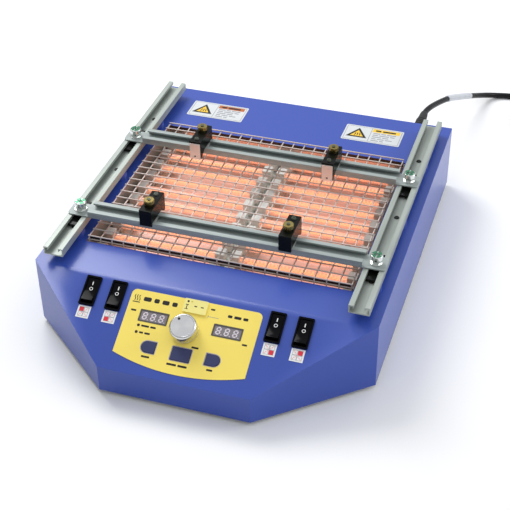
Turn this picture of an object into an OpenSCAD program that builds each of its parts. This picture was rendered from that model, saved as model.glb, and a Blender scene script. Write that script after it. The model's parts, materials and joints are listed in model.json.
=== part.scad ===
// Open-top infrared preheater for circuit boards: a wedge-fronted steel case with four quartz
// heater zones under a wire guard, and an adjustable board holder of rails, crossbars and clamps.
// Millimetres, +Z up, origin on the floor under the middle of the case, front towards -Y.

/* [Case] */
// Width of the case
case_w = 400; // [390:1:420]
// Depth of the case, front to back
case_d = 513; // [510:1:540]
// Height of the case wall at the back, without the feet
case_h = 84; // [80:1:100]
// Width of the flat front face, between the two chamfered corners
front_w = 174; // [160:1:190]
// Height of the front face, without the feet
front_h = 33.6; // [30:0.2:38]
// Depth of the sloping control panel, measured level
slope_run = 95.6; // [92:0.2:110]
// Thickness of the case's steel sheet
sheet = 1.5; // [1:0.1:2]
// Height of the rubber feet
foot_h = 5; // [3:0.5:12]

/* [Heater] */
// Width of the window over the heaters
window_w = 318; // [310:1:322]
// Length of the window over the heaters
window_l = 269; // [260:1:272]
// Distance from the middle of the case back to the middle of the window
window_y = 23; // [20:0.5:26]
// Quartz tubes in each of the two columns
tube_rows = 10; // [8:1:10]
// Outside diameter of a quartz tube
tube_d = 10; // [8:0.5:10]

/* [Board holder] */
// Width of the slotted aluminium rails and crossbars
bar_w = 24; // [23:0.5:25]
// Height of the crossbars
bar_h = 8; // [8:0.2:9]
// Height of the side rails
rail_h = 10.5; // [10:0.5:11]
// Width of the slot in a rail or crossbar
slot_w = 12; // [11:0.5:13]
// Distance from the middle of the case to the middle of a side rail
rail_x = 177; // [176:0.5:178]
// Place of the front crossbar, from the middle of the case
front_bar_y = -81; // [-90:1:-75]
// Place of the rear crossbar, from the middle of the case
rear_bar_y = 88; // [80:1:95]

/* [Controls] */
// Distance from the middle to the outer pair of rocker switches
outer_switch_x = 123; // [120:1:126]
// Distance from the middle to the inner pair of rocker switches
inner_switch_x = 92; // [90:1:95]
// Width of the yellow control overlay
overlay_w = 151; // [150:1:156]
// Diameter of the setting knob
knob_d = 31.5; // [28:0.5:33]

/* [Power cord] */
// Diameter of the power cord
cord_d = 8; // [7.6:0.1:8]

/* [Hidden] */
$fn = 48;

// Gaps
slip = 0.1;
air = 0.3;
over = 1;

// Levels and places worked out from the case
top_z = foot_h + case_h;
front_z = foot_h + front_h;
back_y = case_d / 2;
front_y = -case_d / 2;
bend_y = front_y + slope_run;
slope_drop = case_h - front_h;
slope_deg = atan2(slope_drop, slope_run);
corner_turn = atan2(case_w / 2 - front_w / 2, slope_run);
base_t = 1.2;
base_top = foot_h + base_t;
back_screw_z = 14;
back_head_r = 3;

// Heater levels
tray_t = 1;
tray_z = 44;
tray_in_w = window_w + 2;
tray_in_l = window_l + 2;
tube_z = 68;
tube_pitch = 26;
tube_out = 150;
tube_in = 8;
coil_out = 136;
coil_in = 22;
holder_l = 11;
holder_w = 14;
holder_h = 15;
bracket_z = tube_z - holder_h / 2;

// Wire guard over the heaters
grid_x_cells = 22;
grid_y_cells = 19;
grid_wire = 1.8;
grid_w = window_w - 3;
grid_l = window_l - 5;
grid_top = top_z + 7;
seam = 0.02;

// Rails and crossbars
wall = 1.6;
lip_t = 1.6;
lip_drop = 2.4;
boss_h = 9;
boss_r = 12;
rail_z = top_z + boss_h;
rail_l = 395;
rail_mid_y = 39;
rail_screw_pitch = 126;
rail_screw_y = 23;
bar_z = rail_z + rail_h + slip;
bar_l = 2 * rail_x + bar_w + 1;
tongue_l = 26;
tongue_r = 5;
nut_l = 48;
nut_h = 2.8;
nut_z = rail_z + rail_h - lip_t - lip_drop - air - nut_h;
lock_r = 2.45;
lock_washer_h = 1.3;
lock_nut_h = 3.4;
lock_neck_h = 0.9;
lock_head_r = 7;
lock_head_h = 4.7;

// Clamps: y is measured from the crossbar's middle towards the board
clamp_w = 15;
clamp_z = bar_z + bar_h + slip;
clamp_top = clamp_z + 17.4;
clamp_in = 28;
clamp_out = 14.3;
skirt_drop = 3.6;
jaw_drop = 6.2;
jaw_t = 1.4;
stud_r = 2;
thumb_hub_h = 2;
thumb_h = 7;
// Name ending, crossbar side (-1 front, 1 rear) and x of each clamp
fl_x = -89.5;
fr_x = 76;
rl_x = -86;
rr_x = 82.5;

// Control panel: s runs down the slope from the bend
switch_s = 24;
switch_w = 17.8;
switch_l = 35.5;
rocker_w = 13.6;
rocker_l = 28;
rocker_tilt = 8;
rocker_depth = 3;
sticker_s = 49.8;
sticker_w = 15;
overlay_t = 0.5;
overlay_top_s = 11;
overlay_side_s = 87;
overlay_low_s = 99;
display_w = 32.6;
display_h = 13.3;
display_x = 42.5;
display_left_s = 40.2;
start_s = 75.5;
start_w = 21.6;
start_h = 15;
mode_x = -37.8;
unit_x = 35.8;
side_button_w = 16;
side_button_h = 13;
button_rise = 0.9;
knob_x = -3;
knob_s = 48.5;
knob_h = 14.5;
knob_gap = 1;
socket_s = 19;

// Cord
relief_x = 153;
relief_z = 73;
relief_l = 53;
coil_x = 332;
coil_y = 463;
coil_r = 47;
coil_turn_r = 51;
coil_h = 3 * cord_d;
cord_sides = 10;
// The cord's middle line, from the back wall to where it joins the coil
cord_route = [[153, 257, 73], [153, 284, 73], [153, 311, 73], [156, 330, 71], [160, 348, 67],
              [165, 367, 62], [171, 388, 56], [176, 405, 49.5], [181, 422, 42], [187, 439, 35],
              [194, 457, 27], [203, 479, 17], [215, 499, 8.5], [230, 510, 4.4], [248, 514, 4],
              [270, 514, 4], [300, 514, 4], [328, 514, 4]];
tag_from = 6;
tag_to = 10;

// ---------------------------------------------------------------- helpers

function arc(c, r, a0, a1, n) =
    [for (i = [0 : n]) c + r * [cos(a0 + (a1 - a0) * i / n), sin(a0 + (a1 - a0) * i / n)]];

function round_rect(w, h, r, n = 5) = concat(
    arc([w / 2 - r, h / 2 - r], r, 0, 90, n),
    arc([r - w / 2, h / 2 - r], r, 90, 180, n),
    arc([r - w / 2, r - h / 2], r, 180, 270, n),
    arc([w / 2 - r, r - h / 2], r, 270, 360, n));

// Plan of the case, moved inwards by i
function plan_points(i) = [
    [i - case_w / 2, back_y - i],
    [case_w / 2 - i, back_y - i],
    [case_w / 2 - i, bend_y + i * tan(corner_turn / 2)],
    [front_w / 2 - i * tan((90 - corner_turn) / 2), front_y + i],
    [i * tan((90 - corner_turn) / 2) - front_w / 2, front_y + i],
    [i - case_w / 2, bend_y + i * tan(corner_turn / 2)]];

// Side view of the case's top, moved inwards by i, standing on level low
function profile_points(i, low) = [
    [front_y + i, low],
    [back_y - i, low],
    [back_y - i, top_z - i],
    [bend_y + i * tan(slope_deg / 2), top_z - i],
    [front_y + i, front_z - i * tan((90 - slope_deg) / 2)]];

module along_x(length) {
    translate([-length / 2, 0, 0])
        rotate([90, 0, 90])
            linear_extrude(length)
                children();
}

// Puts children on the sloping panel, with +Z out of it and +Y up it
module on_slope(x, s, lift = 0) {
    translate([0, bend_y, top_z])
        rotate([slope_deg, 0, 0])
            translate([x, -s, lift])
                children();
}

module block(size, z = 0) {
    translate([-size[0] / 2, -size[1] / 2, z])
        cube(size);
}

// A pan-headed screw pointing down, its head's underside at z = 0
module pan_screw(head_r, head_h, shank_r, shank_l) {
    translate([0, 0, -shank_l])
        cylinder(h = shank_l + head_h / 2, r = shank_r);
    difference() {
        cylinder(h = head_h, r1 = head_r, r2 = head_r * 0.8);
        cross_recess(head_r, head_h);
    }
}

module cross_recess(head_r, head_h) {
    for (a = [0, 90])
        rotate([0, 0, a])
            block([head_r * 1.1, head_r * 0.24, head_h], head_h * 0.45);
}

// ---------------------------------------------------------------- case

module case_block(i, low) {
    intersection() {
        translate([0, 0, low])
            linear_extrude(case_h + 2 * foot_h)
                polygon(plan_points(i));
        along_x(case_w + 2)
            polygon(profile_points(i, low));
    }
}

module at_rail_screws() {
    for (side = [-1, 1])
        for (k = [-1 : 1])
            translate([side * rail_x, rail_screw_y + k * rail_screw_pitch, 0])
                children();
}

module slope_cutouts() {
    for (x = [-outer_switch_x, -inner_switch_x, inner_switch_x, outer_switch_x])
        on_slope(x, switch_s, -4)
            block([switch_w - 2.2, switch_l - 3, 8]);
    for (side = [-1, 1])
        on_slope(side * display_x, display_left_s, -4)
            block([display_w + 0.6, display_h + 0.6, 8]);
    on_slope(knob_x, knob_s, -4)
        cylinder(h = 8, r = 4.6);
    on_slope(0, socket_s, -4)
        block([22, 11, 8]);
    for (s = [52, 60])
        on_slope(-56.5, s, -4)
            cylinder(h = 8, r = 1.7);
    button_holes(0.4);
}

module button_holes(gap) {
    on_slope(0, start_s, -4)
        linear_extrude(8)
            polygon(round_rect(start_w + 2 * gap, start_h + 2 * gap, 1));
    for (x = [mode_x, unit_x])
        on_slope(x, start_s - 1, -4)
            linear_extrude(8)
                polygon(side_button_points(sign(x), gap));
}

module back_vents() {
    for (x = [-140 : 12 : 80])
        translate([x, back_y, 45])
            cube([4, 3 * sheet, 28], center = true);
}

module top_cover() {
    color("royalblue")
    difference() {
        union() {
            case_block(0, foot_h);
            at_rail_screws()
                translate([0, 0, top_z - over])
                    cylinder(h = boss_h + over, r = boss_r);
        }
        case_block(sheet, foot_h - over);
        at_rail_screws() {
            translate([0, 0, top_z - 2 * over])
                cylinder(h = boss_h + 2 * over - sheet, r = boss_r - sheet);
            cylinder(h = rail_z + over, r = 1.7);
        }
        translate([0, window_y, top_z - 5])
            linear_extrude(10)
                polygon(round_rect(window_w, window_l, 2));
        slope_cutouts();
        back_vents();
        translate([relief_x, back_y + over, relief_z])
            rotate([90, 0, 0])
                cylinder(h = sheet + 2 * over, r = 6.5);
        at_back_screws()
            translate([0, 0, -sheet - over])
                cylinder(h = sheet + 2 * over, r = back_head_r + slip / 2);
    }
}

// Along the foot of the back wall, with +Z pointing out of it
module at_back_screws() {
    for (x = [-175, -105, -35, 35, 105, 175])
        translate([x, back_y, back_screw_z])
            rotate([-90, 0, 0])
                children();
}

module base_plate() {
    color("silver")
    difference() {
        translate([0, 0, foot_h])
            linear_extrude(16)
                polygon(plan_points(sheet));
        translate([0, 0, base_top])
            linear_extrude(16)
                polygon(plan_points(sheet + base_t));
        for (x = [-120 : 20 : 120])
            for (y = [-60, 20, 100, 180])
                translate([x, y, foot_h + base_t / 2])
                    cube([5, 50, 4], center = true);
        at_back_screws()
            translate([0, 0, -6])
                cylinder(h = 6, r = 1.6);
        at_feet()
            cylinder(h = 12, r = 2.1);
    }
}

module at_feet() {
    for (side = [-1, 1])
        for (y = [-148, 222])
            translate([side * 165, y, 0])
                children();
}

module rubber_feet() {
    color("black")
    at_feet()
        difference() {
            union() {
                cylinder(h = 1, r1 = 8.4, r2 = 9);
                translate([0, 0, 1])
                    cylinder(h = foot_h - 1, r = 9);
            }
            cylinder(h = foot_h + over, r = 1.6);
        }
}

module machine_screws() {
    color("gainsboro") {
        at_rail_screws()
            translate([0, 0, rail_z + wall])
                pan_screw(3.1, 1.2, 1.55, 8);
        at_back_screws()
            translate([0, 0, -sheet])
                pan_screw(back_head_r, sheet - slip, 1.5, 4);
        at_feet()
            translate([0, 0, base_top])
                pan_screw(3.6, 2, 1.55, base_top - 1.5);
    }
}

// ---------------------------------------------------------------- heater

function row_y(k) = window_y + (k - (tube_rows - 1) / 2) * tube_pitch;

module heater_tray() {
    color("lightsteelblue")
    difference() {
        union() {
            translate([0, window_y, 0])
                block([tray_in_w + 2 * tray_t, tray_in_l + 2 * tray_t,
                       top_z - sheet - tray_z], tray_z);
            translate([0, window_y, 0])
                block([tray_in_w + 7, tray_in_l + 24, tray_t], top_z - sheet - tray_t);
        }
        translate([0, window_y, 0])
            block([tray_in_w, tray_in_l, case_h], tray_z + tray_t);
        for (side = [-1, 1])
            translate([side * 120, window_y, tray_z])
                cylinder(h = 4, r = 4, center = true);
    }
}

module heat_shield() {
    color("silver") {
        difference() {
            translate([0, window_y, 0])
                block([332, 292, 40 - base_top], base_top);
            translate([0, window_y, 0])
                block([332 - 2 * tray_t, 300, 40 - tray_t - base_top], base_top);
            for (side = [-1, 1])
                translate([side * 120, window_y, 38])
                    cylinder(h = 4, r = 4);
        }
        for (x = [-130, 130])
            for (y = [-70, 116])
                translate([x, y, 40 - tray_t / 2])
                    cylinder(h = tray_z - 40 + tray_t / 2, r = 4);
    }
}

module centre_bracket() {
    color("silver")
    translate([0, window_y, 0])
        difference() {
            block([34, 264, bracket_z - tray_z - tray_t], tray_z + tray_t);
            block([31, 266, bracket_z - tray_z - 2 * tray_t], tray_z + tray_t - over);
        }
    color("silver")
    for (side = [-1, 1])
        translate([side * 147, window_y, 0])
            difference() {
                block([14, 264, bracket_z - tray_z - tray_t], tray_z + tray_t);
                block([11, 266, bracket_z - tray_z - 2 * tray_t], tray_z + tray_t - over);
            }
}

module quartz_tube(side, k) {
    translate([side * tube_in, row_y(k), tube_z])
        rotate([0, side * 90, 0])
            difference() {
                cylinder(h = tube_out - tube_in, d = tube_d);
                translate([0, 0, -over])
                    cylinder(h = tube_out, r = tube_d / 2 - 1);
            }
}

module quartz_tubes() {
    color([1, 0.75, 0.6, 0.5])
    for (side = [-1, 1])
        for (k = [0 : tube_rows - 1])
            quartz_tube(side, k);
}

module heater_coils() {
    color("orangered")
    for (side = [-1, 1])
        for (k = [0 : tube_rows - 1])
            translate([0, row_y(k), tube_z])
                rotate([0, side * 90, 0]) {
                    translate([0, 0, coil_in])
                        cylinder(h = coil_out - coil_in, r = 2.6);
                    translate([0, 0, 3])
                        cylinder(h = coil_in - 3 + over, r = 0.6);
                    translate([0, 0, coil_out - over])
                        cylinder(h = 156 - coil_out, r = 0.6);
                }
}

// One steatite end cap, its closed end at x = 0 and its mouth towards +X
module ceramic_cap() {
    difference() {
        translate([0, -holder_w / 2, -holder_h / 2])
            cube([holder_l, holder_w, holder_h]);
        rotate([0, 90, 0]) {
            translate([0, 0, 4])
                cylinder(h = holder_l, r = tube_d / 2 + 0.05);
            translate([0, 0, -over])
                cylinder(h = holder_l, r = 0.9);
        }
    }
}

module ceramic_holders() {
    color("whitesmoke")
    for (side = [-1, 1])
        for (k = [0 : tube_rows - 1])
            translate([0, row_y(k), tube_z])
                mirror([side < 0 ? 1 : 0, 0, 0]) {
                    translate([tube_in - 4.2, 0, 0])
                        ceramic_cap();
                    translate([tube_out + 4.2, 0, 0])
                        mirror([1, 0, 0])
                            ceramic_cap();
                }
}

// Square-mesh guard: wires across lie on the wires along, which turn down at the front and back
module guard_grid() {
    rim_h = grid_top - 2 * grid_wire - 2 * seam - (top_z - 3);
    color("lightgrey")
    translate([0, window_y, 0]) {
        for (j = [0 : grid_y_cells])
            translate([0, grid_line(j, grid_y_cells, grid_l), 0])
                block([grid_w, grid_wire, grid_wire], grid_top - grid_wire);
        for (i = [0 : grid_x_cells])
            translate([grid_line(i, grid_x_cells, grid_w), 0, 0]) {
                block([grid_wire, grid_l, grid_wire], grid_top - 2 * grid_wire - seam);
                for (side = [-1, 1])
                    translate([0, side * (grid_l - grid_wire) / 2, 0])
                        block([grid_wire, grid_wire, rim_h], top_z - 3);
            }
        for (side = [-1, 1])
            translate([0, side * (grid_l / 2 - 1.5 * grid_wire - seam), 0])
                block([window_w, grid_wire, grid_wire], top_z - 1.4);
    }
}

function grid_line(i, cells, size) = (grid_wire - size) / 2 + i * (size - grid_wire) / cells;

// ---------------------------------------------------------------- control panel

function bulge_radius() =
    (pow(overlay_w / 2, 2) + pow(overlay_low_s - overlay_side_s, 2))
        / (2 * (overlay_low_s - overlay_side_s));

// Outline of the yellow overlay in panel coordinates: x across, -s up the slope
function overlay_points() =
    let (w = overlay_w / 2, top = -overlay_top_s, r = bulge_radius(), half = asin(w / r))
    concat(arc([w - 6, top - 6], 6, 0, 90, 6),
           arc([6 - w, top - 6], 6, 90, 180, 6),
           arc([0, r - overlay_low_s], r, 270 - half, 270 + half, 24));

// A button outline that is square on its inner side and round on its outer side
function side_button_points(side, gap) =
    let (w = side_button_w / 2 + gap, h = side_button_h / 2 + gap)
    [for (p = concat([[-w, -h]], arc([w - h, 0], h, -90, 90, 12), [[-w, h]])) [side * p[0], p[1]]];

module control_overlay() {
    color("khaki")
    difference() {
        on_slope(0, 0)
            linear_extrude(overlay_t)
                polygon(overlay_points());
        slope_cutouts();
    }
}

module zone_stickers() {
    color("white")
    for (x = [-outer_switch_x, -inner_switch_x, inner_switch_x, outer_switch_x])
        on_slope(x, sticker_s)
            block([sticker_w, sticker_w - 0.5, 0.3]);
}

module rear_labels() {
    color("white")
    for (x = [-109.5, 104])
        translate([x, back_y - 47, top_z])
            linear_extrude(0.3)
                polygon(round_rect(77, 37.5, 2));
}

module display_module(side) {
    on_slope(side * display_x, display_left_s) {
        block([display_w, display_h, 3.2], -3);
        block([display_w + 5, display_h + 6, 6], -3 - 6);
    }
}

module display_left() {
    color("dimgray")
    display_module(-1);
}

module display_right() {
    color("dimgray")
    display_module(1);
}

module indicator_leds() {
    color("darkred")
    for (s = [52, 60])
        on_slope(-56.5, s, -5) {
            cylinder(h = 5.8, r = 1.5);
            translate([0, 0, -2])
                cylinder(h = 2, r = 2);
        }
}

module thermocouple_socket() {
    color("lemonchiffon")
    on_slope(0, socket_s)
        difference() {
            union() {
                translate([0, 0, overlay_t])
                    linear_extrude(2)
                        polygon(round_rect(27, 16, 1));
                block([21.4, 10.4, 17 + overlay_t], -17);
            }
            for (x = [0.5, 8])
                translate([x, 0, 0])
                    block([3.2, 1.2, 12], -8);
            translate([-5, 4.5, 1.5])
                cylinder(h = 3, r = 1.1);
        }
}

module rocker_frames() {
    color("black")
    for (x = [-outer_switch_x, -inner_switch_x, inner_switch_x, outer_switch_x])
        on_slope(x, switch_s)
            difference() {
                union() {
                    linear_extrude(2)
                        polygon(round_rect(switch_w, switch_l, 1.2));
                    block([switch_w - 2.4, switch_l - 3.2, 20], -20);
                    for (y = [-9, 0, 9])
                        translate([0, y, 0])
                            block([4.8, 0.8, 8], -27.5);
                }
                block([rocker_w + 2 * air, rocker_l + 3, 14], -11);
            }
}

module rocker(x) {
    on_slope(x, switch_s, -rocker_depth) {
        rotate([0, 90, 0])
            cylinder(h = rocker_w + 0.4, r = 1.5, center = true);
        rotate([-rocker_tilt, 0, 0])
            along_x(rocker_w)
                polygon([[-rocker_l / 2, 6.4], [-rocker_l / 4, 4.6], [0, 4.1], [rocker_l / 4, 4.6],
                         [rocker_l / 2, 6.4], [rocker_l / 2 - 1.5, -3], [5, -6], [-5, -6],
                         [1.5 - rocker_l / 2, -3]]);
    }
}

module rocker_1() {
    color("black")
    rocker(-outer_switch_x);
}

module rocker_2() {
    color("black")
    rocker(-inner_switch_x);
}

module rocker_3() {
    color("black")
    rocker(inner_switch_x);
}

module rocker_4() {
    color("black")
    rocker(outer_switch_x);
}

// A key with its retaining flange behind the panel and its stem down to the board
module key(rise) {
    translate([0, 0, -sheet - 0.8])
        linear_extrude(sheet + 0.8 + rise)
            children();
    block([5, 5, 14.9], -16.9);
}

module start_button() {
    color("midnightblue")
    on_slope(0, start_s) {
        key(overlay_t + button_rise)
            polygon(round_rect(start_w, start_h, 0.8));
        block([start_w + 3, start_h + 3, 1], -sheet - 1.7);
    }
}

module side_button(x) {
    on_slope(x, start_s - 1) {
        key(overlay_t + button_rise)
            polygon(side_button_points(sign(x), 0));
        block([side_button_w + 3, side_button_h + 3, 1], -sheet - 1.7);
    }
}

module mode_button() {
    color("midnightblue")
    side_button(mode_x);
}

module unit_button() {
    color("midnightblue")
    side_button(unit_x);
}

module knob() {
    color("silver")
    on_slope(knob_x, knob_s, overlay_t + knob_gap)
        difference() {
            union() {
                cylinder(h = 2.5, r1 = knob_d / 2 - 1.5, r2 = knob_d / 2 - 0.5);
                translate([0, 0, 2.5])
                    cylinder(h = knob_h - 4, r = knob_d / 2 - 0.5);
                translate([0, 0, knob_h - 1.5])
                    cylinder(h = 1.5, r1 = knob_d / 2 - 0.5, r2 = knob_d / 2 - 2);
            }
            translate([0, 0, -over])
                cylinder(h = 10 + over, r = 3);
            translate([0, 0, -over])
                cylinder(h = 4 + over, r = 6.5);
        }
}

module encoder_shaft() {
    color("silver")
    on_slope(knob_x, knob_s, -10)
        cylinder(h = 10 + overlay_t + knob_gap + 10, r = 3);
}

module encoder() {
    color("gray")
    on_slope(knob_x, knob_s)
        difference() {
            union() {
                block([13, 14, 10], -12.5 - 10);
                translate([0, 0, -13])
                    cylinder(h = 13 + overlay_t, r = 4.5);
            }
            translate([0, 0, -10 - slip])
                cylinder(h = 20, r = 3.05);
        }
}

module control_board() {
    color("seagreen")
    on_slope(0, 50, -24.1) {
        block([156, 86, 1.6]);
        for (p = [[0, 50 - start_s], [mode_x, 51 - start_s], [unit_x, 51 - start_s]])
            translate([p[0], p[1], 0])
                block([6, 6, 6], 0.6);
        translate([-50, 20, 0])
            block([14, 14, 2], 1);
    }
}

module power_board() {
    color("seagreen")
    translate([0, 70, 14]) {
        block([200, 130, 1.6]);
        for (x = [-75, -25, 25, 75])
            translate([x, -40, 0])
                block([28, 15, 15], 1);
        for (x = [-70 : 20 : 70])
            translate([x, 48, 0])
                block([18, 12, 13], 1);
        translate([60, 5, 0])
            cylinder(h = 19, r = 9);
        translate([-60, 5, 0])
            block([36, 30, 20], 1);
    }
}

module board_standoffs() {
    color("goldenrod") {
        for (x = [-94, 94])
            for (y = [11, 129])
                translate([x, y, base_top])
                    cylinder(h = 14 - base_top, r = 3);
        for (x = [-70, 70])
            for (s = [14, 86])
                on_slope(x, s, -24.1)
                    translate([0, 0, 1.6])
                        cylinder(h = 24.1 - sheet - 1.6, r = 2.5);
    }
}

module heat_sink() {
    color("darkgrey")
    translate([0, 190, base_top]) {
        block([150, 40, 4]);
        for (y = [-18 : 6 : 18])
            translate([0, y, 0])
                block([150, 1.6, 24]);
    }
}

// ---------------------------------------------------------------- board holder

// Cross-section of a slotted bar of height h, its bottom at 0, with lips turned down by drop
module slotted_section(h, drop) {
    difference() {
        translate([-bar_w / 2, 0])
            square([bar_w, h]);
        translate([wall - bar_w / 2, wall])
            square([bar_w - 2 * wall, h - wall - lip_t]);
        translate([-slot_w / 2, h / 2])
            square([slot_w, h]);
        for (side = [-1, 1])
            translate([side * bar_w / 2, 0])
                rotate(45)
                    square(1.6, center = true);
    }
    for (side = [-1, 1])
        translate([side * (slot_w / 2 + 0.6) - 0.6, h - lip_t - drop])
            square([1.2, drop + lip_t / 2]);
}

module side_rail(side) {
    difference() {
        translate([side * rail_x, rail_mid_y + rail_l / 2, rail_z])
            rotate([90, 0, 0])
                linear_extrude(rail_l)
                    slotted_section(rail_h, lip_drop);
        at_rail_screws()
            translate([0, 0, rail_z - over])
                cylinder(h = wall + 2 * over, r = 1.7);
    }
}

module rail_left() {
    color("lightgray")
    side_rail(-1);
}

module rail_right() {
    color("lightgray")
    side_rail(1);
}

// A crossbar whose ends are milled down to flat tongues over the side rails
module crossbar(y) {
    translate([0, y, bar_z])
        difference() {
            union() {
                along_x(bar_l - 2 * tongue_l)
                    slotted_section(bar_h, 0.6);
                linear_extrude(wall)
                    polygon(round_rect(bar_l, bar_w, tongue_r));
            }
            for (side = [-1, 1])
                translate([side * rail_x, 0, -over])
                    cylinder(h = wall + 2 * over, r = 3);
        }
}

module crossbar_front() {
    color("lightgray")
    crossbar(front_bar_y);
}

module crossbar_rear() {
    color("lightgray")
    crossbar(rear_bar_y);
}

module slide_nuts(y) {
    for (side = [-1, 1])
        translate([side * rail_x, y, nut_z])
            difference() {
                union() {
                    block([bar_w - 2 * wall - 2, nut_l, nut_h]);
                    block([slot_w - 1.6, 16, bar_z - nut_z - 0.3]);
                }
                translate([0, 0, -over])
                    cylinder(h = 12, r = lock_r + slip);
            }
}

module slide_nuts_front() {
    color("black")
    slide_nuts(front_bar_y);
}

module slide_nuts_rear() {
    color("black")
    slide_nuts(rear_bar_y);
}

// Crossbar locking screw: washer, hexagon nut and wide cross-recessed head
module lock_screw(side, y) {
    base = bar_z + wall;
    nut_base = base + lock_washer_h;
    neck_base = nut_base + lock_nut_h;
    head_base = neck_base + lock_neck_h;
    translate([side * rail_x, y, 0]) {
        translate([0, 0, nut_z])
            cylinder(h = head_base + 1 - nut_z, r = lock_r);
        translate([0, 0, base])
            cylinder(h = lock_washer_h, r = 7.4);
        translate([0, 0, nut_base])
            linear_extrude(lock_nut_h)
                polygon([for (a = [0 : 60 : 300]) 6.6 * [cos(a), sin(a)]]);
        translate([0, 0, neck_base])
            cylinder(h = lock_neck_h, r = 4.6);
        translate([0, 0, head_base])
            difference() {
                union() {
                    cylinder(h = lock_head_h, r = lock_head_r);
                    translate([0, 0, lock_head_h])
                        cylinder(h = 0.8, r1 = lock_head_r, r2 = lock_head_r - 0.7);
                }
                cross_recess(lock_head_r, lock_head_h + 1.5);
            }
    }
}

module lock_screw_fl() {
    color("silver")
    lock_screw(-1, front_bar_y);
}

module lock_screw_fr() {
    color("silver")
    lock_screw(1, front_bar_y);
}

module lock_screw_rl() {
    color("silver")
    lock_screw(-1, rear_bar_y);
}

module lock_screw_rr() {
    color("silver")
    lock_screw(1, rear_bar_y);
}

// Puts a clamp part at x on a crossbar, +Y towards the board; side is -1 front, 1 rear
module on_bar(x, side) {
    translate([x, side < 0 ? front_bar_y : rear_bar_y, 0])
        rotate([0, 0, side < 0 ? 0 : 180])
            children();
}

// Black saddle block that hooks over the crossbar's outer edge
module clamp_body(x, side) {
    skirt = bar_w / 2 + air;
    on_bar(x, side)
        difference() {
            along_x(clamp_w)
                polygon([[-clamp_out, clamp_z - skirt_drop], [-skirt, clamp_z - skirt_drop],
                         [-skirt, clamp_z], [bar_w / 2 + 3, clamp_z],
                         [clamp_in - 3, clamp_z - jaw_drop], [clamp_in, clamp_z - jaw_drop],
                         [clamp_in, clamp_top], [-clamp_out, clamp_top]]);
            translate([0, 0, clamp_z - over])
                cylinder(h = 30, r = stud_r + slip);
            translate([0, 21, clamp_top - 9])
                cylinder(h = 20, r = 1.55);
        }
}

// Steel of a clamp: slot nut with its stud, jaw plate and cap screw
module clamp_steel(x, side) {
    nut_top = bar_z + bar_h - lip_t - 0.6 - air;
    on_bar(x, side) {
        block([14, bar_w - 2 * wall - 2, 2.4], nut_top - 2.4);
        translate([0, 0, nut_top - 1])
            cylinder(h = clamp_top + thumb_h + 2 - nut_top, r = stud_r);
        difference() {
            translate([0, clamp_in + jaw_t / 2, 0])
                block([clamp_w - 1.6, jaw_t, clamp_top - clamp_z + jaw_drop - 2],
                      clamp_z - jaw_drop - 0.4);
            translate([0, clamp_in + 4, clamp_z - jaw_drop + 3.6])
                rotate([90, 0, 0])
                    cylinder(h = 10, r = 1.3);
        }
        translate([0, 21, clamp_top])
            pan_screw(3, 1.8, 1.5, 8);
    }
}

// Knurled brass nut on the clamp's stud
module thumb_nut(x, side) {
    translate([0, 0, clamp_top + slip])
        on_bar(x, side)
            difference() {
                union() {
                    cylinder(h = thumb_hub_h, r = 4.6);
                    translate([0, 0, thumb_hub_h])
                        cylinder(h = thumb_h - thumb_hub_h, r = 5.8);
                    for (a = [0 : 15 : 345])
                        rotate([0, 0, a])
                            translate([5.6, 0, thumb_hub_h + 0.5])
                                cylinder(h = thumb_h - thumb_hub_h - 1, r = 0.5);
                }
                translate([0, 0, -over])
                    cylinder(h = 12, r = stud_r + slip);
            }
}

module clamp_body_fl() {
    color("black")
    clamp_body(fl_x, -1);
}

module clamp_body_fr() {
    color("black")
    clamp_body(fr_x, -1);
}

module clamp_body_rl() {
    color("black")
    clamp_body(rl_x, 1);
}

module clamp_body_rr() {
    color("black")
    clamp_body(rr_x, 1);
}

module clamp_steel_fl() {
    color("silver")
    clamp_steel(fl_x, -1);
}

module clamp_steel_fr() {
    color("silver")
    clamp_steel(fr_x, -1);
}

module clamp_steel_rl() {
    color("silver")
    clamp_steel(rl_x, 1);
}

module clamp_steel_rr() {
    color("silver")
    clamp_steel(rr_x, 1);
}

module thumb_nut_fl() {
    color("goldenrod")
    thumb_nut(fl_x, -1);
}

module thumb_nut_fr() {
    color("goldenrod")
    thumb_nut(fr_x, -1);
}

module thumb_nut_rl() {
    color("goldenrod")
    thumb_nut(rl_x, 1);
}

module thumb_nut_rr() {
    color("goldenrod")
    thumb_nut(rr_x, 1);
}

// ---------------------------------------------------------------- power cord

// Stepped rubber sleeve that carries the cord out of the back wall
module strain_relief() {
    color("black")
    translate([relief_x, back_y, relief_z])
        rotate([-90, 0, 0])
            rotate_extrude()
                polygon([[cord_d / 2 + 0.1, -sheet - 3], [9, -sheet - 3], [9, -sheet], [6.5, -sheet],
                         [6.5, 0], [9.5, 0], [9.5, 3], [7.6, 3.5], [7.2, 30], [6.2, 31],
                         [5.2, relief_l], [cord_d / 2 + 0.1, relief_l]]);
}

// Catmull-Rom point between route points k and k + 1
function route_at(k, t) =
    let (n = len(cord_route) - 1,
         a = cord_route[max(k - 1, 0)],
         b = cord_route[k],
         c = cord_route[min(k + 1, n)],
         d = cord_route[min(k + 2, n)])
    0.5 * (2 * b + (c - a) * t + (2 * a - 5 * b + 4 * c - d) * t * t
           + (3 * b - a - 3 * c + d) * t * t * t);

function unit(v) = v / norm(v);

function tube_path(from, to, steps) =
    concat([for (k = [from : to - 1]) for (j = [0 : steps - 1]) route_at(k, j / steps)],
           [cord_route[to]]);

function tangent(path, i) = unit(path[min(i + 1, len(path) - 1)] - path[max(i - 1, 0)]);

function tube_ring(path, i, r) =
    let (t = tangent(path, i), side = unit(cross(t, [0, 0, 1])), up = cross(side, t))
    [for (j = [0 : cord_sides - 1])
        path[i] + r * (cos(360 * j / cord_sides) * side + sin(360 * j / cord_sides) * up)];

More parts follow.
